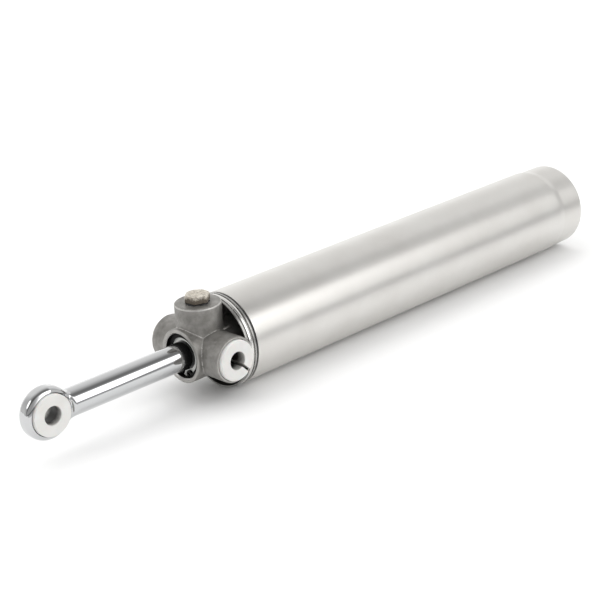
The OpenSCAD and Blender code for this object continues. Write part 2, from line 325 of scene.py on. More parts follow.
# ---------------------------------------------------------------- materials
class Recipe:
    """A material under construction: its node tree, its shader and short cuts to add nodes."""

    def __init__(self, name, **shader_values):
        self.material = bpy.data.materials.new(name)
        self.material.use_nodes = True
        self.tree = self.material.node_tree
        self.shader = self.tree.nodes["Principled BSDF"]
        for key, value in shader_values.items():
            self.shader.inputs[key.replace("_", " ")].default_value = value
        self.place = self.node("ShaderNodeTexCoord").outputs["Object"]

    def node(self, kind, **values):
        """Adds a node. Each value is a setting of the node, or else the value of its input of that name."""
        made = self.tree.nodes.new(kind)
        for key, value in values.items():
            if hasattr(made, key):
                setattr(made, key, value)
            else:
                made.inputs[key.replace("_", " ")].default_value = value
        return made

    def link(self, source, target):
        self.tree.links.new(source, target)
        return self

    def maths(self, operation, *sources):
        """A maths operation on one or two outputs."""
        made = self.node("ShaderNodeMath", operation=operation)
        for i, source in enumerate(sources):
            self.link(source, made.inputs[i])
        return made.outputs[0]

    def axes(self, vector=None):
        """The X, Y and Z outputs of a vector, by default the object coordinates."""
        split = self.node("ShaderNodeSeparateXYZ")
        self.link(vector or self.place, split.inputs[0])
        return split.outputs

    def joined(self, x, y):
        """The vector (x, y, 0)."""
        made = self.node("ShaderNodeCombineXYZ")
        self.link(x, made.inputs["X"]).link(y, made.inputs["Y"])
        return made.outputs[0]

    def stretched(self, factors, vector=None):
        """A vector scaled by a factor along each axis, so that a pattern can run along one of them."""
        mapping = self.node("ShaderNodeMapping", Scale=factors)
        self.link(vector or self.place, mapping.inputs["Vector"])
        return mapping.outputs["Vector"]

    def along_x(self, factor):
        """Distance along X times a factor."""
        return self.axes(self.stretched((factor, 1, 1)))["X"]

    def around(self):
        """The vector (distance along X, angle round the X axis in radians, 0)."""
        axes = self.axes()
        return self.joined(axes["X"], self.maths("ARCTAN2", axes["Z"], axes["Y"]))

    def noise(self, scale, detail, roughness, vector=None):
        """Noise over a vector, by default the object coordinates."""
        made = self.node("ShaderNodeTexNoise", Scale=scale, Detail=detail, Roughness=roughness)
        self.link(vector or self.place, made.inputs["Vector"])
        return made.outputs["Fac"]

    def ranged(self, source, low, high, start=0.3, stop=0.7):
        """A texture's value from start to stop turned into a value from low to high."""
        made = self.node("ShaderNodeMapRange", From_Min=start, From_Max=stop, To_Min=low, To_Max=high)
        self.link(source, made.inputs["Value"])
        return made.outputs["Result"]

    def tint(self, source, first, last, start=0.3, stop=0.7):
        """Colour that runs from first to last as the texture's value goes from start to stop."""
        ramp = self.node("ShaderNodeValToRGB")
        ends = ramp.color_ramp.elements
        ends[0].position, ends[1].position = start, stop
        ends[0].color, ends[1].color = (*first, 1), (*last, 1)
        self.link(source, ramp.inputs["Fac"])
        return ramp.outputs["Color"]

    def colour(self, output):
        self.link(output, self.shader.inputs["Base Color"])

    def rough(self, output):
        self.link(output, self.shader.inputs["Roughness"])

    def bump(self, *layers):
        """Adds bumps, each a texture output, its height in mm and its strength."""
        previous = None
        for source, height, strength in layers:
            made = self.node("ShaderNodeBump", Distance=height * MM, Strength=strength)
            self.link(source, made.inputs["Height"])
            if previous:
                self.link(previous, made.inputs["Normal"])
            previous = made.outputs["Normal"]
        self.link(previous, self.shader.inputs["Normal"])


def polished_tube():
    """Polished steel with faint polishing lines round the barrel."""
    r = Recipe("steel_polished", Metallic=0.93, Specular_IOR_Level=0.5)
    lines = r.noise(1.0, 3, 0.6, r.stretched((9000, 6, 1), r.around()))
    r.colour(r.tint(r.noise(38, 3, 0.55), (0.655, 0.640, 0.615), (0.695, 0.684, 0.661)))
    r.rough(r.ranged(r.noise(70, 5, 0.6), 0.31, 0.36))
    r.bump((lines, 0.003, 0.3), (r.noise(60, 2, 0.5), 0.010, 0.25))
    return r.material


def cast_metal(name, dark, light, roughness, grain):
    """Sand-cast metal: a fine grain over a coarser one, with patches of colour."""
    r = Recipe(name, Metallic=0.75)
    r.colour(r.tint(r.noise(120, 5, 0.6), dark, light, 0.32, 0.68))
    r.rough(r.ranged(r.noise(260, 4, 0.6), roughness - 0.06, roughness + 0.07))
    r.bump((r.noise(grain, 5, 0.65), 0.22, 0.7), (r.noise(grain * 0.28, 3, 0.5), 0.24, 0.45))
    return r.material


def machined_metal(name, dark, light, roughness, pitch):
    """Turned metal with fine lathe marks round the X axis, on the sides and on the end faces."""
    r = Recipe(name, Metallic=1.0)
    outwards = r.node("ShaderNodeVectorMath", operation="LENGTH")
    r.link(r.stretched((0, pitch, pitch)), outwards.inputs[0])
    marks = r.joined(r.along_x(pitch), outwards.outputs["Value"])
    r.colour(r.tint(r.noise(90, 4, 0.6), dark, light))
    r.rough(r.ranged(r.noise(160, 3, 0.5), roughness - 0.04, roughness + 0.05))
    r.bump((r.noise(1.0, 2, 0.5, marks), 0.010, 0.4))
    return r.material


def chrome_plate():
    """Bright plating with hair scratches along X."""
    r = Recipe("chrome_plated", Metallic=1.0)
    r.colour(r.tint(r.noise(30, 2, 0.5), (0.572, 0.578, 0.585), (0.602, 0.606, 0.612)))
    r.rough(r.ranged(r.noise(240, 5, 0.65), 0.035, 0.075))
    scratches = r.noise(1.0, 2, 0.5, r.stretched((140, 5200, 5200)))
    r.bump((scratches, 0.0012, 0.3))
    return r.material


def moulded(name, dark, light, roughness, grain, height, subsurface=0.0):
    """Moulded plastic or rubber with a fine skin and slight colour variation."""
    r = Recipe(name, Subsurface_Weight=subsurface, Subsurface_Scale=0.5 * MM)
    r.colour(r.tint(r.noise(110, 5, 0.6), dark, light, 0.3, 0.72))
    r.rough(r.ranged(r.noise(grain * 0.5, 3, 0.5), roughness - 0.06, roughness + 0.06))
    r.bump((r.noise(grain, 4, 0.6), height, 0.5))
    return r.material


def shadowed_bore(name, mouth, deep):
    """Nylon painted darker from its bore's mouth inwards, as painted shade deep in the hole, by distance
    from the XZ plane in mm.
    """
    r = Recipe(name, Roughness=0.4)
    depth = r.ranged(r.maths("ABSOLUTE", r.axes()["Y"]), 1.0, 0.0, deep * MM, mouth * MM)
    blotch = r.maths("ADD", depth, r.ranged(r.noise(500, 4, 0.6), -0.12, 0.12))
    r.colour(r.tint(blotch, (0.60, 0.59, 0.57), (0.020, 0.019, 0.018), 0.0, 0.8))
    r.bump((r.noise(700, 4, 0.6), 0.03, 0.5))
    return r.material


CRACK_SCALE = 230


def dirty_plastic():
    """Ivory plug plastic with fine cracks, and brown grime that is thickest round the foot of its sides."""
    r = Recipe("plug_ivory", Roughness=0.5)
    base = r.tint(r.noise(260, 5, 0.65), (0.40, 0.355, 0.29), (0.62, 0.58, 0.51), 0.34, 0.58)
    height = r.axes()["Z"]
    low_down = r.ranged(height, 0.50, 0.02, (PORT_FACE + 1.0) * MM, (PLUG_TOP - 1.0) * MM)
    grime = r.ranged(r.maths("ADD", r.noise(480, 5, 0.7), low_down), 0, 0.95, 0.50, 0.74)
    cells = r.node("ShaderNodeTexVoronoi", feature="DISTANCE_TO_EDGE", Scale=CRACK_SCALE)
    r.link(r.place, cells.inputs["Vector"])
    to_crack = cells.outputs["Distance"]
    crack_depth = r.ranged(height, 0.95, 0.30, (PLUG_TOP - 1.5) * MM, PLUG_TOP * MM)
    crack = r.maths("MULTIPLY", r.ranged(to_crack, 1.0, 0.0, 0.01, 0.09), crack_depth)
    mix = r.node("ShaderNodeMix", data_type="RGBA")
    r.link(r.maths("MAXIMUM", grime, crack), mix.inputs["Factor"]).link(base, mix.inputs["A"])
    mix.inputs["B"].default_value = (0.085, 0.066, 0.046, 1)
    r.colour(mix.outputs["Result"])
    r.rough(r.ranged(r.noise(400, 3, 0.5), 0.42, 0.6))
    edge = r.ranged(to_crack, 0.0, 1.0, 0.0, 0.1)
    r.bump((r.noise(900, 4, 0.6), 0.08, 0.5), (r.noise(300, 2, 0.5), 0.12, 0.3), (edge, 0.3, 0.6))
    return r.material


TUBE = polished_tube()
CAST = cast_metal("aluminium_cast", (0.200, 0.193, 0.181), (0.345, 0.335, 0.318), 0.46, 1500)
CAST_FACE = cast_metal("aluminium_faced", (0.31, 0.30, 0.285), (0.45, 0.44, 0.42), 0.42, 1500)
# painted highlight: lighter cast skin along the creases where the bosses meet and round the port boss's top
# rim
CAST_PAINTED_HIGHLIGHT = cast_metal("aluminium_painted_highlight", (0.44, 0.43, 0.41), (0.56, 0.55, 0.53), 0.4, 1500)
# painted shade: near-black cast metal for the recess, the gland pocket and the bush seats, where shade falls
PAINTED_SHADE_METAL = cast_metal("aluminium_shadowed", (0.022, 0.021, 0.020), (0.045, 0.043, 0.040), 0.5, 1300)
CAP_METAL = machined_metal("aluminium_cap", (0.38, 0.375, 0.36), (0.50, 0.49, 0.47), 0.34, 2400)
TURNED = machined_metal("aluminium_turned", (0.36, 0.355, 0.345), (0.44, 0.435, 0.42), 0.27, 2600)
BRIGHT = machined_metal("aluminium_bright", (0.70, 0.69, 0.67), (0.78, 0.77, 0.75), 0.2, 2600)
CHROME = chrome_plate()
SPRING = machined_metal("steel_spring", (0.80, 0.80, 0.79), (0.88, 0.88, 0.87), 0.22, 1800)
ZINC = machined_metal("steel_zinc", (0.50, 0.51, 0.53), (0.60, 0.61, 0.63), 0.32, 1500)
BRONZE = machined_metal("bronze_sintered", (0.45, 0.29, 0.15), (0.55, 0.37, 0.20), 0.38, 1200)
NYLON = moulded("nylon_white", (0.655, 0.645, 0.625), (0.705, 0.70, 0.685), 0.42, 700, 0.03, 0.1)
NYLON_SHADE = moulded("nylon_shadow", (0.46, 0.45, 0.435), (0.57, 0.56, 0.54), 0.6, 700, 0.03)
# nylon with painted shade that deepens into the bushes' bores
BORE_TRUNNION = shadowed_bore("nylon_bore", 34.3, 26.0)
BORE_EYE = shadowed_bore("nylon_bore_eye", 7.6, 2.0)
PLUG = dirty_plastic()
BLACK = moulded("rubber_black", (0.012, 0.012, 0.013), (0.022, 0.022, 0.023), 0.24, 900, 0.03)
LIP = moulded("rubber_lip", (0.005, 0.005, 0.005), (0.010, 0.010, 0.010), 0.15, 900, 0.008)
SEAL = moulded("rubber_seal", (0.016, 0.020, 0.018), (0.030, 0.036, 0.033), 0.42, 1100, 0.04)
SCRAPER = moulded("plastic_scraper", (0.84, 0.85, 0.82), (0.90, 0.905, 0.88), 0.36, 900, 0.03)
# black phosphated steel, made darker still as painted shade in the gland's mouth; also painted shade on the
# eye's hole walls round the bush
BLACK_STEEL_AND_SHADE = machined_metal("steel_black_and_shade", (0.004, 0.004, 0.004), (0.009, 0.009, 0.009), 0.4, 1500)
WEAR = moulded("plastic_wear", (0.60, 0.56, 0.44), (0.70, 0.66, 0.54), 0.5, 900, 0.04)

SLOTS = {"tube": TUBE, "casting": CAST, "cap": CAP_METAL, "chrome": CHROME, "spring_steel": SPRING,
         "zinc_steel": ZINC, "nylon": NYLON, "plug_plastic": PLUG, "black_rubber": BLACK,
         "seal_rubber": SEAL, "bronze": BRONZE, "wear_plastic": WEAR, "scraper_plastic": SCRAPER,
         "black_steel": BLACK_STEEL_AND_SHADE}


def paint(obj, material):
    """Gives a piece one material all over."""
    obj.data.materials.clear()
    obj.data.materials.append(material)
    return obj


def fit(obj, body, slot, *nodes):
    """Puts a finished piece on its body in place of the CAD nodes, with the record's material slot."""
    if not obj.data.materials:
        paint(obj, SLOTS[slot])
    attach(obj, body)
    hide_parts(*nodes)


# ---------------------------------------------------------------- barrel
def barrel():
    """The tube, swaged to a smaller radius at the rear and rolled in behind the cap."""
    lip_r, lip_x = SWAGE_R - ROLL_R - 2, TUBE_REAR + TUBE_WALL
    swage_end, step_x, inside_r = SWAGE_X - 5, SWAGE_X - 1.8, SWAGE_R - TUBE_WALL
    blend = 14
    outline = [
        (TUBE_FRONT, BORE_R), (TUBE_FRONT, TUBE_R), (SWAGE_X, TUBE_R), (swage_end, SWAGE_R),
        (TUBE_REAR, SWAGE_R), (TUBE_REAR, lip_r), (lip_x, lip_r), (lip_x, inside_r),
        (step_x, inside_r), (SWAGE_X, BORE_R)]
    radii = [0.2, 0.35, blend, blend, ROLL_R, 0.5, 0.3, ROLL_R - TUBE_WALL, 1, 1]
    fit(lathe("barrel_tube", rounded(outline, radii, 8), 256), "barrel", "tube", "barrel_tube")


# ---------------------------------------------------------------- head
def ripple(x, y, z):
    """Slight unevenness of a sand-cast skin."""
    wide = np.sin(1.1 * x + 0.7 * y) * np.sin(0.9 * z - 0.4 * x)
    return 0.05 * (wide + 0.6 * np.sin(1.9 * y + 1.3 * z + 0.8 * x))


FILLET = 0.5
GLAND_REAR = -24.0
DUCT_FRONT = -6.0
DUCT_R, DUCT_Z = 5.0, 22.0
DUCT_BORE_R, DUCT_BORE_Z = 2.2, 22.5
NIB_START, NIB_END, NIB_R = (-9.0, 12.2, 12.8), (-13.4, 12.8, 13.5), 1.3

EDGE_LINE = 0.3  # width of the painted highlight along the crease where two bosses meet
PORT_RIM = 1.1  # width of the painted highlight round the port boss's top rim
FACED = 0.25  # how far below a machined face the skin still counts as machined
SLACK = 0.1  # allowance for a face that lies just on a limit


def capsule(x, y, z, start, end, radius):
    """Distance to a rod with round ends between two points."""
    start, way = np.array(start), np.array(end) - np.array(start)
    dx, dy, dz = x - start[0], y - start[1], z - start[2]
    t = np.clip((dx * way[0] + dy * way[1] + dz * way[2]) / float(way @ way), 0, 1)
    return np.sqrt((dx - t * way[0]) ** 2 + (dy - t * way[1]) ** 2 + (dz - t * way[2]) ** 2) - radius


def repaint(obj, choose):
    """Gives each face the material that choose(centre in mm, its present material) returns."""
    slots = obj.data.materials
    for face in obj.data.polygons:
        present = slots[face.material_index]
        wanted = choose(face.center / MM, present)
        if wanted is not present:
            if wanted.name not in slots:
                slots.append(wanted)
            face.material_index = slots.find(wanted.name)


def head_finish(at, present):
    """Finish of one face of the head.

    The cast skin is lighter on its machined faces, and carries a painted highlight along the creases where
    the bosses meet and round the port boss's top rim. Turned metal takes painted shade inside the pocket,
    the recess and the bush seats, and is bright on the collar's bead.
    """
    from_x, from_y, from_z = math.hypot(at.y, at.z), math.hypot(at.x, at.z), math.hypot(at.x, at.y)
    if present is CAST:
        sides = (abs(from_x - GLAND_R), abs(from_y - BOSS_R), abs(from_z - BOSS_R))
        port_rim = PORT_FACE - PORT_RIM < at.z < PORT_FACE - SLACK and BOSS_R - PORT_RIM < from_z
        # painted highlight along the creases between the bosses and round the port boss's top rim
        if sorted(sides)[1] < EDGE_LINE or port_rim:
            return CAST_PAINTED_HIGHLIGHT
        return CAST_FACE if at.x > GLAND_FACE - FACED or abs(at.y) > BOSS_FACE - FACED else CAST
    # painted shade in the recess, the gland pocket and the bush seats and their chamfers
    if RECESS_FLOOR - 1.1 < at.x < COLLAR_FRONT - 0.2 and from_x < COLLAR_R - 1.0:
        return PAINTED_SHADE_METAL
    if POCKET_FLOOR - SLACK < at.x < GLAND_FACE - 0.75 and from_x < POCKET_R + 0.9:
        return PAINTED_SHADE_METAL
    if from_y < BUSH_R + 0.6 and abs(at.y) < BOSS_FACE + SLACK:
        return PAINTED_SHADE_METAL
    if from_x > COLLAR_R - 0.25 and BEAD_REAR - SLACK < at.x < BEAD_FRONT + SLACK:
        return BRIGHT
    return TURNED


def head_field(x, y, z):
    """The casting, before anything is bored: gland, trunnion bosses, port boss, air duct and a small nib."""
    skin = ripple(x, y, z)
    gland = round_max(radial(y, z) - GLAND_R + skin, x - GLAND_FACE, 0.7)
    gland = round_max(gland, GLAND_REAR - x, 0.5)
    trunnion = round_max(radial(x, z) - BOSS_R + skin, np.abs(y) - BOSS_FACE, 1.1)
    port = round_max(radial(x, y) - BOSS_R + skin, z - PORT_FACE, 0.9)
    port = round_max(port, -z, 0.5)
    duct = round_max(radial(y, z - DUCT_Z) - DUCT_R, x - DUCT_FRONT, 0.5)
    duct = round_max(duct, GLAND_REAR - x, 0.5)
    body = round_min(gland, trunnion, FILLET)
    body = round_min(body, port, FILLET)
    body = round_min(body, duct, 2.0)
    return round_min(body, capsule(x, y, z, NIB_START, NIB_END, NIB_R), 0.5)


def collar_outline():
    """Outline of the collar, its grooves and its recess, and of the spigot inside the tube."""
    groove_r, edge_r, slope = COLLAR_R - 0.85, COLLAR_R - 0.1, 0.15
    rear_land, front_land = BEAD_REAR - COLLAR_GROOVE_W, BEAD_FRONT + COLLAR_GROOVE_W
    bead_middle = (BEAD_REAR + BEAD_FRONT) / 2
    floor_r, lip_r = BORE_R - 2.6, COLLAR_R - 1.1
    spigot_rear = -52
    oring_rear, oring_r = -39, BORE_R - ORING_GROOVE_DEPTH
    oring_front = oring_rear + ORING_GROOVE_W
    points = [
        (spigot_rear, 0), (spigot_rear, BORE_R), (oring_rear, BORE_R), (oring_rear, oring_r),
        (oring_front, oring_r), (oring_front, BORE_R), (TUBE_FRONT, BORE_R), (TUBE_FRONT, SEAL_SEAT_R),
        (COLLAR_REAR, SEAL_SEAT_R), (COLLAR_REAR, COLLAR_R), (rear_land, COLLAR_R),
        (rear_land + slope, groove_r), (BEAD_REAR - slope, groove_r), (BEAD_REAR, edge_r),
        (bead_middle, COLLAR_R + 0.1), (BEAD_FRONT, edge_r), (BEAD_FRONT + slope, groove_r),
        (front_land - slope, groove_r), (front_land, edge_r), (COLLAR_FRONT, edge_r),
        (COLLAR_FRONT, lip_r), (RECESS_FLOOR, floor_r), (RECESS_FLOOR, 0)]
    radii = [0, 0.5, 0, 0.2, 0.2, 0.2, 0, 0, 0.1, 0.15, 0.15, 0.12, 0.12, 0.3, 1.2, 0.3, 0.12, 0.12,
             0.15, 0.35, 0.3, 1.5, 0]
    return rounded(points, radii, 4, 0.12)


PAST = 1  # how far a tool reaches past the surface that it cuts


def drill(bottom, face, radius, chamfer, flare):
    """Outline of a tool that bores from bottom to past a face, with a cone that chamfers the mouth."""
    return [(bottom, 0), (bottom, radius), (face - chamfer, radius), (face + PAST, radius + flare),
            (face + PAST, 0)]


def head():
    """The casting and its turned collar in one piece, with everything that is bored or turned in it."""
    collar = paint(lathe("collar_tool", collar_outline(), 256), TURNED)
    body = field_mesh("head_casting", head_field, low=(-26, -34, -20), high=(20, 34, 34), cell=0.45)
    paint(body, CAST)
    combine(body, [collar], "UNION")
    seat_r = POCKET_R + 0.7
    pocket = rounded([
        (POCKET_FLOOR, 0), (POCKET_FLOOR, POCKET_R), (CIRCLIP_X, POCKET_R), (CIRCLIP_X, seat_r),
        (CIRCLIP_FRONT, seat_r), (CIRCLIP_FRONT, POCKET_R), (GLAND_FACE - 0.7, POCKET_R),
        (GLAND_FACE + PAST, POCKET_R + 1.7), (GLAND_FACE + PAST, 0)], [0, 0.3, 0, 0, 0, 0.1, 0.2, 0, 0], 3)
    through, guide_front, guide_r = -60, -5, 11
    guide = [(through, 0), (through, guide_r), (guide_front, guide_r), (guide_front, 0)]
    cutters = [lathe("pocket_tool", pocket, 192), lathe("guide_tool", guide, 96)]
    seat = drill(BUSH_FLOOR, BOSS_FACE, BUSH_R, chamfer=0.4, flare=1.2)
    for side in (1, -1):
        outline = [(side * along, r) for along, r in seat]
        cutters.append(lathe("seat_tool", outline, 192, axis=1))
    port = drill(PORT_FLOOR, PORT_FACE, PORT_R, chamfer=0.8, flare=1.8)
    cutters.append(lathe("port_tool", port, 96, axis=2))
    duct = [(through, 0), (through, DUCT_BORE_R), (0, DUCT_BORE_R), (0, 0)]
    cutters.append(lathe("duct_tool", duct, 48, origin=(0, 0, DUCT_BORE_Z)))
    wire_rear, wire_front, wire_r = -31, -29, BORE_R - 0.9
    groove = [(wire_rear, wire_r), (wire_rear, BORE_R + PAST), (wire_front, BORE_R + PAST),
              (wire_front, wire_r)]
    cutters.append(lathe("wire_tool", groove, 256))
    for cutter in cutters:
        paint(cutter, TURNED)
    combine(body, cutters, "DIFFERENCE")
    repaint(body, head_finish)
    fit(body, "barrel", "casting", "head_casting")


def rear_cap():
    """Turned end cap held in by the tube's rolled lip, with a threaded port through its stepped boss."""
    seat_r = SWAGE_R - TUBE_WALL
    groove_rear, groove_r = CAP_FRONT - 9, seat_r - ORING_GROOVE_DEPTH
    groove_front = groove_rear + ORING_GROOVE_W
    plate_x, boss_r = CAP_REAR + 3, 11
    pocket_x, pocket_r = CAP_FRONT - 13, 13
    outline = [
        (CAP_REAR, PORT_R + 0.8), (CAP_REAR, boss_r), (plate_x, boss_r + 1), (plate_x, seat_r),
        (groove_rear, seat_r), (groove_rear, groove_r), (groove_front, groove_r), (groove_front, seat_r),
        (CAP_FRONT, seat_r), (CAP_FRONT, pocket_r), (pocket_x, pocket_r), (pocket_x, PORT_R)]
    radii = [0.25, 0.6, 0.9, ROLL_R - TUBE_WALL, 0.1, 0.2, 0.2, 0.1, 0.5, 0.3, 0.3, 0.1]
    thread, thread_end, thread_r = [], CAP_REAR + 1.2, PORT_R + 0.35
    at = pocket_x - 1
    while at > thread_end:
        thread += [(at, thread_r), (at - THREAD_PITCH / 2, PORT_R)]
        at -= THREAD_PITCH
    cap = lathe("rear_cap", rounded(outline, radii, 5, 0.15) + thread, 192)
    fit(cap, "barrel", "cap", "rear_cap")


def gap_seal():
    """Black ring in the gap between the tube and the collar."""
    outer_r = TUBE_R - 0.5
    outline = [(TUBE_FRONT, SEAL_SEAT_R), (TUBE_FRONT, outer_r), (COLLAR_REAR, outer_r),
               (COLLAR_REAR, SEAL_SEAT_R)]
    seal = lathe("head_gap_seal", rounded(outline, [0.1, 0.35, 0.35, 0.1], 4, 0.1), 192)
    fit(seal, "barrel", "black_rubber", "head_gap_seal")


def block(name, low, high):
    """A plain box tool between two corners."""
    verts = [(x, y, z) for x in (low[0], high[0]) for y in (low[1], high[1]) for z in (low[2], high[2])]
    faces = [(0, 1, 3, 2), (4, 6, 7, 5), (0, 4, 5, 1), (2, 3, 7, 6), (0, 2, 6, 4), (1, 5, 7, 3)]
    return add_mesh(name, verts, faces)


def trunnion_bush(side, name):
    """Nylon bush in the near boss (side 1) or the far one (side -1), slit along its length."""
    ends = (side * BUSH_FLOOR, side * BUSH_FACE)
    outline = [(ends[0], PIN_R), (ends[0], BUSH_R), (ends[1], BUSH_R), (ends[1], PIN_R)]
    bush = paint(lathe(name, rounded(outline, [0.3, 0.3, 1.1, 0.5], 6), 128, axis=1), NYLON)
    over = 2
    slit = block("slit_tool", (0, min(ends) - over, -SLIT / 2), (BUSH_R + over, max(ends) + over, SLIT / 2))
    paint(slit, NYLON_SHADE)
    slit.data.transform(Matrix.Rotation(-SLIT_ANGLE, 4, "Y"))
    combine(bush, [slit], "DIFFERENCE")
    # painted shade in the bush's bore
    repaint(bush, lambda at, present: BORE_TRUNNION if math.hypot(at.x, at.z) < PIN_R + 0.05 else present)
    fit(bush, "barrel", "nylon", name)


def hexagon_field(x, y, z, base, top, flat_r, turn):
    """Hexagon nut shape along Z, with softened corners and its top edge bevelled by a cone."""
    field = np.full_like(np.asarray(x, float), -1e3)
    for i in range(3):
        a = turn + math.radians(30 + 60 * i)
        field = round_max(field, np.abs(x * math.cos(a) + y * math.sin(a)) - flat_r, 0.7)
    cone = radial(x, y) + (z - top) * 0.9 - (flat_r * 1.02)
    field = round_max(field, cone, 0.5)
    field = round_max(field, z - top, 0.5)
    return round_max(field, base - z, 0.35)


def plug():
    """Hexagon plug in the upper port, on a black seal that bulges unevenly from under it."""
    base = PORT_FACE + 0.8
    turn, flat_r = math.radians(37), 7.45
    shank_middle, shank_half = 28.5, 5.5

    def field(x, y, z):
        worn = 0.09 * np.sin(1.3 * x + 2.1 * y) * np.sin(1.7 * y - 0.9 * x + 0.5)
        head_part = hexagon_field(x, y, z, base, PLUG_TOP, flat_r, turn) + worn
        shank = round_max(radial(x, y) - PORT_R + 0.05, np.abs(z - shank_middle) - shank_half, 0.3)
        return round_min(head_part, shank, 0.3)

    body = field_mesh("port_plug", field, low=(-10, -10, 22), high=(10, 10, PLUG_TOP + 1), cell=0.25)
    fit(body, "barrel", "plug_plastic", "port_plug")
    seal_r = 8.0
    ring = [(PORT_FACE, PORT_R), (PORT_FACE, seal_r), (base, seal_r - 0.1), (base, PORT_R)]
    seal = lathe("port_plug_seal", rounded(ring, [0.1, 0.3, 0.3, 0.1], 4, 0.1), 96, axis=2)
    for vertex in seal.data.vertices:
        turned = math.atan2(vertex.co.y, vertex.co.x)
        if math.hypot(vertex.co.x, vertex.co.y) > (PORT_R + 1) * MM:
            spread = 1 + 0.05 * math.sin(5 * turned) + 0.04 * math.sin(11 * turned + 1)
            vertex.co.x *= spread
            vertex.co.y *= spread
    fit(seal, "barrel", "black_rubber", "port_plug_seal")


def wiper():
    """Light scraper body behind the circlip, with a thin black lip that reaches out along the rod."""
    gap_r = ROD_R + 0.05
    outline = [(WIPER_REAR, gap_r), (WIPER_REAR, POCKET_R), (CIRCLIP_X, POCKET_R), (CIRCLIP_X, WIPER_LIP_R),
               (WIPER_FRONT, WIPER_TIP_R), (WIPER_FRONT, gap_r)]
    ring = lathe("rod_wiper", rounded(outline, [0.2, 0.3, 0.05, 0.15, 0.08, 0.05], 4, 0.1), 192)
    paint(ring, SCRAPER)
    repaint(ring, lambda at, present: LIP if math.hypot(at.y, at.z) < WIPER_LIP_R + 0.12 else present)
    fit(ring, "barrel", "scraper_plastic", "rod_wiper")


# ---------------------------------------------------------------- rod and eye
def rod():
    """Chromed rod with a stud at each end."""
    points = [(ROD_REAR, 0), (ROD_REAR, STUD_R), (ROD_SHOULDER, STUD_R), (ROD_SHOULDER, ROD_R),
              (NECK_X, ROD_R), (NECK_X, STUD_R), (ROD_FRONT, STUD_R), (ROD_FRONT, 0)]
    body = lathe("piston_rod", rounded(points, [0, 1, 0.1, 0.5, 0, 0, 0.4, 0], 5), 192)
    fit(body, "rod", "chrome", "piston_rod")


EYE_FILLET = 2.2
EYE_CROWN = 0.012
EYE_SHOULDER = 4.2
EYE_FACE_R = 15.4
EYE_NECK_START = NECK_X - 3
EYE_NECK_END = EYE_X - 12
EYE_NECK_ROUND = 2.4


def eye_field(x, y, z):
    """The eye: a crowned ring round the pin, and the neck that runs into it, before anything is bored."""
    from_pin = radial(x - EYE_X, z)
    beside = np.abs(y) - EYE_HALF
    ring = round_max(from_pin - EYE_R + y * y * EYE_CROWN, beside, EYE_SHOULDER)
    neck = np.maximum(radial(y, z) - ROD_R, np.maximum(EYE_NECK_START - x, x - EYE_NECK_END))
    neck = round_max(neck, np.minimum(EYE_FACE_R - from_pin, beside), EYE_NECK_ROUND)
    return round_min(ring, neck, EYE_FILLET)


def eye():
    """The eye with its flared hole, open at the rear for the rod's stud, and its nylon bush."""
    body = field_mesh("rod_eye", eye_field, low=(NECK_X - 5, -11, -19), high=(EYE_X + 19, 11, 19), cell=0.4)
    paint(body, CHROME)
    outside, chamfer, flare, clearance = 3, 0.9, 2.8, 0.1
    mouth = [(EYE_HALF - chamfer, EYE_BUSH_R + clearance), (EYE_HALF + outside, EYE_BUSH_R + flare),
             (EYE_HALF + outside, 0)]
    hole = [(-along, r) for along, r in reversed(mouth)] + mouth
    behind, behind_r = NECK_X - 8, 14
    rear = [(behind, 0), (behind, behind_r), (NECK_X, behind_r), (NECK_X, 0)]
    stud = [(NECK_X - PAST, 0), (NECK_X - PAST, STUD_R), (ROD_FRONT, STUD_R), (ROD_FRONT, 0)]
    tools = [lathe("eye_tool", hole, 192, axis=1, origin=(EYE_X, 0, 0)), lathe("neck_tool", rear, 96),
             lathe("stud_tool", stud, 96)]
    for tool in tools:
        paint(tool, CHROME)
    combine(body, tools, "DIFFERENCE")

    def from_pin(at):
        return math.hypot(at.x - EYE_X, at.z)

    # painted shade: the eye's hole walls and the inner edge of its chamfer take near-black steel for the
    # shaded gap round the bush
    repaint(body, lambda at, present: BLACK_STEEL_AND_SHADE if from_pin(at) < EYE_BUSH_R + 0.5 else present)
    fit(body, "rod", "chrome", "rod_eye")
    outline = [(-EYE_BUSH_HALF, PIN_R), (-EYE_BUSH_HALF, EYE_BUSH_R), (EYE_BUSH_HALF, EYE_BUSH_R),
               (EYE_BUSH_HALF, PIN_R)]
    outline = rounded(outline, [0.6, 0.5, 0.5, 0.6], 6)
    bush = paint(lathe("rod_eye_bush", outline, 160, axis=1, origin=(EYE_X, 0, 0)), NYLON)
    # painted shade in the eye bush's bore
    repaint(bush, lambda at, present: BORE_EYE if from_pin(at) < PIN_R + 0.05 else present)
    fit(bush, "rod", "nylon", "rod_eye_bush")


barrel()
head()
rear_cap()
gap_seal()
trunnion_bush(1, "trunnion_bush_left")
trunnion_bush(-1, "trunnion_bush_right")
plug()
wiper()
rod()
eye()

# CAD nodes that stay, with the finish that each one takes
KEPT = {
    "head_spigot_oring": "black_rubber", "head_retaining_wire": "spring_steel",
    "head_stop_ring": "seal_rubber", "gland_circlip": "black_steel", "gland_washer": "zinc_steel",
    "rod_seal": "seal_rubber", "rod_guide_bush": "bronze",
    "rear_cap_oring": "black_rubber", "rear_stop_ring": "seal_rubber",
    "piston_seal_front": "seal_rubber", "piston_seal_rear": "seal_rubber",
    "piston_wear_ring": "wear_plastic", "piston": "cap", "piston_oring": "black_rubber",
    "piston_washer": "zinc_steel", "piston_nut": "zinc_steel"}
for node, slot_name in KEPT.items():
    paint(frame["nodes"][node], SLOTS[slot_name])


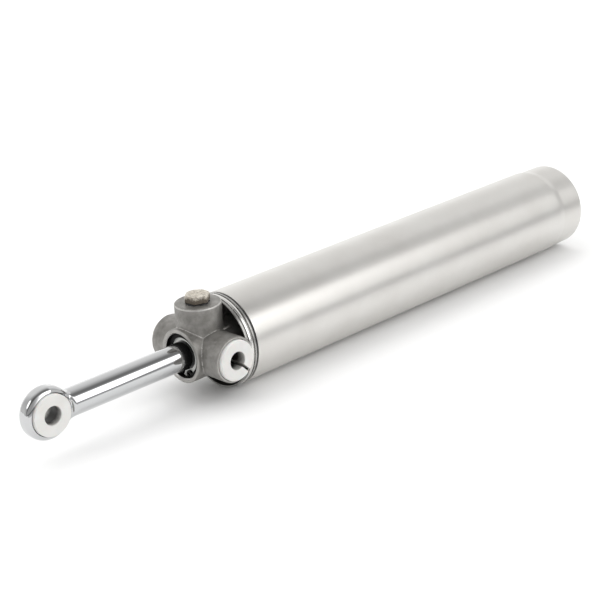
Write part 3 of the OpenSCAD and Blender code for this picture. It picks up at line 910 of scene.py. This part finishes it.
# ---------------------------------------------------------------- studio
# brightness of the surroundings by direction, in degrees from +Y over the top to -Y
SKY_BANDS = [(0, 0.16), (4, 0.22), (8, 0.76), (50, 0.76), (60, 0.30), (70, 0.22), (82, 0.30), (92, 0.52),
             (112, 0.86), (132, 0.98), (152, 1.06), (172, 1.32), (180, 1.36)]
BOX_LEVEL = 2.0
SECOND_BOX = (0.75, -0.22, 0.63)
SECOND_LEVEL = 2.2
TOP_POWER = 100.0
FLOOR_R, FLOOR_DEPTH = 9000, 4
CAMERA_PLACE = (610.78, 761.99, 406.42)
CAMERA_TARGET = (-88.11, 0.49, 5.30)
CAMERA_UP = (0.0, 0.0916, 0.9958)
CAMERA_LENS = 98.19


def floor():
    """White disc that the barrel lies on."""
    level = -TUBE_R
    below = level - FLOOR_DEPTH
    ground = lathe("floor", [(below, 0), (level, 0), (level, FLOOR_R), (below, FLOOR_R)], 96, axis=2)
    r = Recipe("floor_white", Roughness=0.8, Specular_IOR_Level=0.2)
    r.colour(r.tint(r.noise(3, 2, 0.5), (0.90, 0.90, 0.90), (0.92, 0.92, 0.92)))
    paint(ground, r.material)


def world():
    """White studio: long bands of light and grey that run parallel to the barrel, and two softboxes."""
    made = bpy.data.worlds.new("studio")
    made.use_nodes = True
    bpy.context.scene.world = made
    tree = made.node_tree
    nodes, links = tree.nodes, tree.links
    nodes.clear()

    def wired(kind, values, **settings):
        """Adds a node whose inputs take numbers or other nodes' outputs, and gives its first live output."""
        item = nodes.new(kind)
        for key, value in settings.items():
            setattr(item, key, value)
        for key, value in values.items():
            if isinstance(value, bpy.types.NodeSocket):
                links.new(value, item.inputs[key])
            else:
                item.inputs[key].default_value = value
        return next(o for o in item.outputs if o.enabled)

    def maths(operation, a, b):
        return wired("ShaderNodeMath", {0: a, 1: b}, operation=operation)

    def step(value, low, high):
        return wired("ShaderNodeMapRange", {"Value": value, "From Min": low, "From Max": high},
                     interpolation_type="SMOOTHSTEP")

    def arc(value, low, high):
        """Smooth step between two heights in degrees, for a value in half turns."""
        return step(value, low / 180, high / 180)

    split = nodes.new("ShaderNodeSeparateXYZ")
    place = nodes.new("ShaderNodeTexCoord").outputs["Generated"]
    links.new(place, split.inputs[0])
    along = split.outputs["X"]
    turn = maths("DIVIDE", maths("ARCTAN2", split.outputs["Z"], split.outputs["Y"]), math.pi)
    ramp = nodes.new("ShaderNodeValToRGB")
    links.new(turn, ramp.inputs["Fac"])
    elements = ramp.color_ramp.elements
    for i, (angle, level) in enumerate(SKY_BANDS):
        item = elements[i] if i < 2 else elements.new(angle / 180)
        item.position = angle / 180
        item.color = (level, level * 0.998, level * 0.99, 1)
    # the softbox: its lower edge climbs towards the rear, and it fades out at both ends
    behind = maths("MINIMUM", maths("ADD", along, 0.53), 0.0)
    climb = maths("ADD", turn, maths("MULTIPLY", behind, 2.0))
    box = maths("MULTIPLY", arc(climb, 3, 7), arc(turn, 55, 47))
    ends = maths("MULTIPLY", step(along, -0.80, -0.68), step(along, 0.15, -0.25))
    light = maths("MULTIPLY", maths("MULTIPLY", box, ends), BOX_LEVEL)
    # the dark strip overhead is lighter towards the rear
    strip = maths("MULTIPLY", arc(turn, 52, 66), arc(turn, 125, 92))
    strip = maths("MULTIPLY", strip, step(along, -0.55, -0.68))
    light = maths("ADD", light, maths("MULTIPLY", strip, 0.50))
    # a second, small softbox ahead and above, and a dimmer room round it
    toward = wired("ShaderNodeVectorMath", {0: place, 1: SECOND_BOX}, operation="DOT_PRODUCT")
    second = maths("MULTIPLY", step(toward, 0.955, 0.985), SECOND_LEVEL)
    dim = maths("SUBTRACT", 1.0, maths("MULTIPLY", step(along, 0.05, 0.5), 0.40))
    room = wired("ShaderNodeVectorMath", {0: ramp.outputs["Color"], 1: dim}, operation="MULTIPLY")
    total = wired("ShaderNodeVectorMath", {0: room, 1: maths("ADD", light, second)}, operation="ADD")
    # the camera itself sees plain white past the floor's edge
    seen = nodes.new("ShaderNodeLightPath").outputs["Is Camera Ray"]
    plain = wired("ShaderNodeVectorMath", {0: (1.0, 1.0, 1.0), 1: seen}, operation="MULTIPLY")
    rest = wired("ShaderNodeVectorMath", {0: total, 1: maths("SUBTRACT", 1.0, seen)}, operation="MULTIPLY")
    shown = wired("ShaderNodeVectorMath", {0: plain, 1: rest}, operation="ADD")
    background = wired("ShaderNodeBackground", {"Color": shown, "Strength": 1.0})
    output = nodes.new("ShaderNodeOutputWorld")
    links.new(background, output.inputs["Surface"])


def top_light():
    """A wide panel overhead that lights the floor and the matt pieces and shows in no reflection."""
    data = bpy.data.lights.new("top_panel", "AREA")
    data.shape = "DISK"
    data.size = 7.0
    data.energy = TOP_POWER
    obj = bpy.data.objects.new("top_panel", data)
    obj.location = (-0.1, 0.0, 3.0)
    obj.visible_glossy = False
    obj.visible_camera = False
    bpy.context.scene.collection.objects.link(obj)


def flag():
    """A long grey card beside the cylinder that shows only in reflections, lighter at its foot."""
    rear, front, across, foot, top = -1100, 500, 190, -TUBE_R, 8
    corners = [(rear, across, foot), (front, across, foot), (front, across, top), (rear, across, top)]
    card = add_mesh("grey_card", corners, [(0, 1, 2, 3)])
    r = Recipe("card_grey", Roughness=1.0, Specular_IOR_Level=0.0, Emission_Strength=1.0,
               Base_Color=(0.0, 0.0, 0.0, 1))
    height = r.ranged(r.axes()["Z"], 0.0, 1.0, foot * MM, top * MM)
    grey = r.tint(height, (0.74, 0.74, 0.74), (0.26, 0.26, 0.27), 0.3, 1.0)
    r.link(grey, r.shader.inputs["Emission Color"])
    paint(card, r.material)
    card.visible_camera = card.visible_diffuse = card.visible_shadow = False


def camera():
    """The main view, from ahead and above on the near side, towards the middle of the cylinder."""
    place = Vector(CAMERA_PLACE) * MM
    forward = (Vector(CAMERA_TARGET) * MM - place).normalized()
    right = forward.cross(Vector(CAMERA_UP)).normalized()
    up = right.cross(forward)
    data = bpy.data.cameras.new("camera")
    data.sensor_width = 36.0
    data.lens = CAMERA_LENS
    data.clip_start, data.clip_end = 0.05, 60
    obj = bpy.data.objects.new("camera", data)
    obj.matrix_world = Matrix((
        (right.x, up.x, -forward.x, place.x),
        (right.y, up.y, -forward.y, place.y),
        (right.z, up.z, -forward.z, place.z),
        (0, 0, 0, 1)))
    bpy.context.scene.collection.objects.link(obj)
    bpy.context.scene.camera = obj


floor()
world()
top_light()
flag()
camera()
bpy.context.scene.view_settings.view_transform = "Standard"
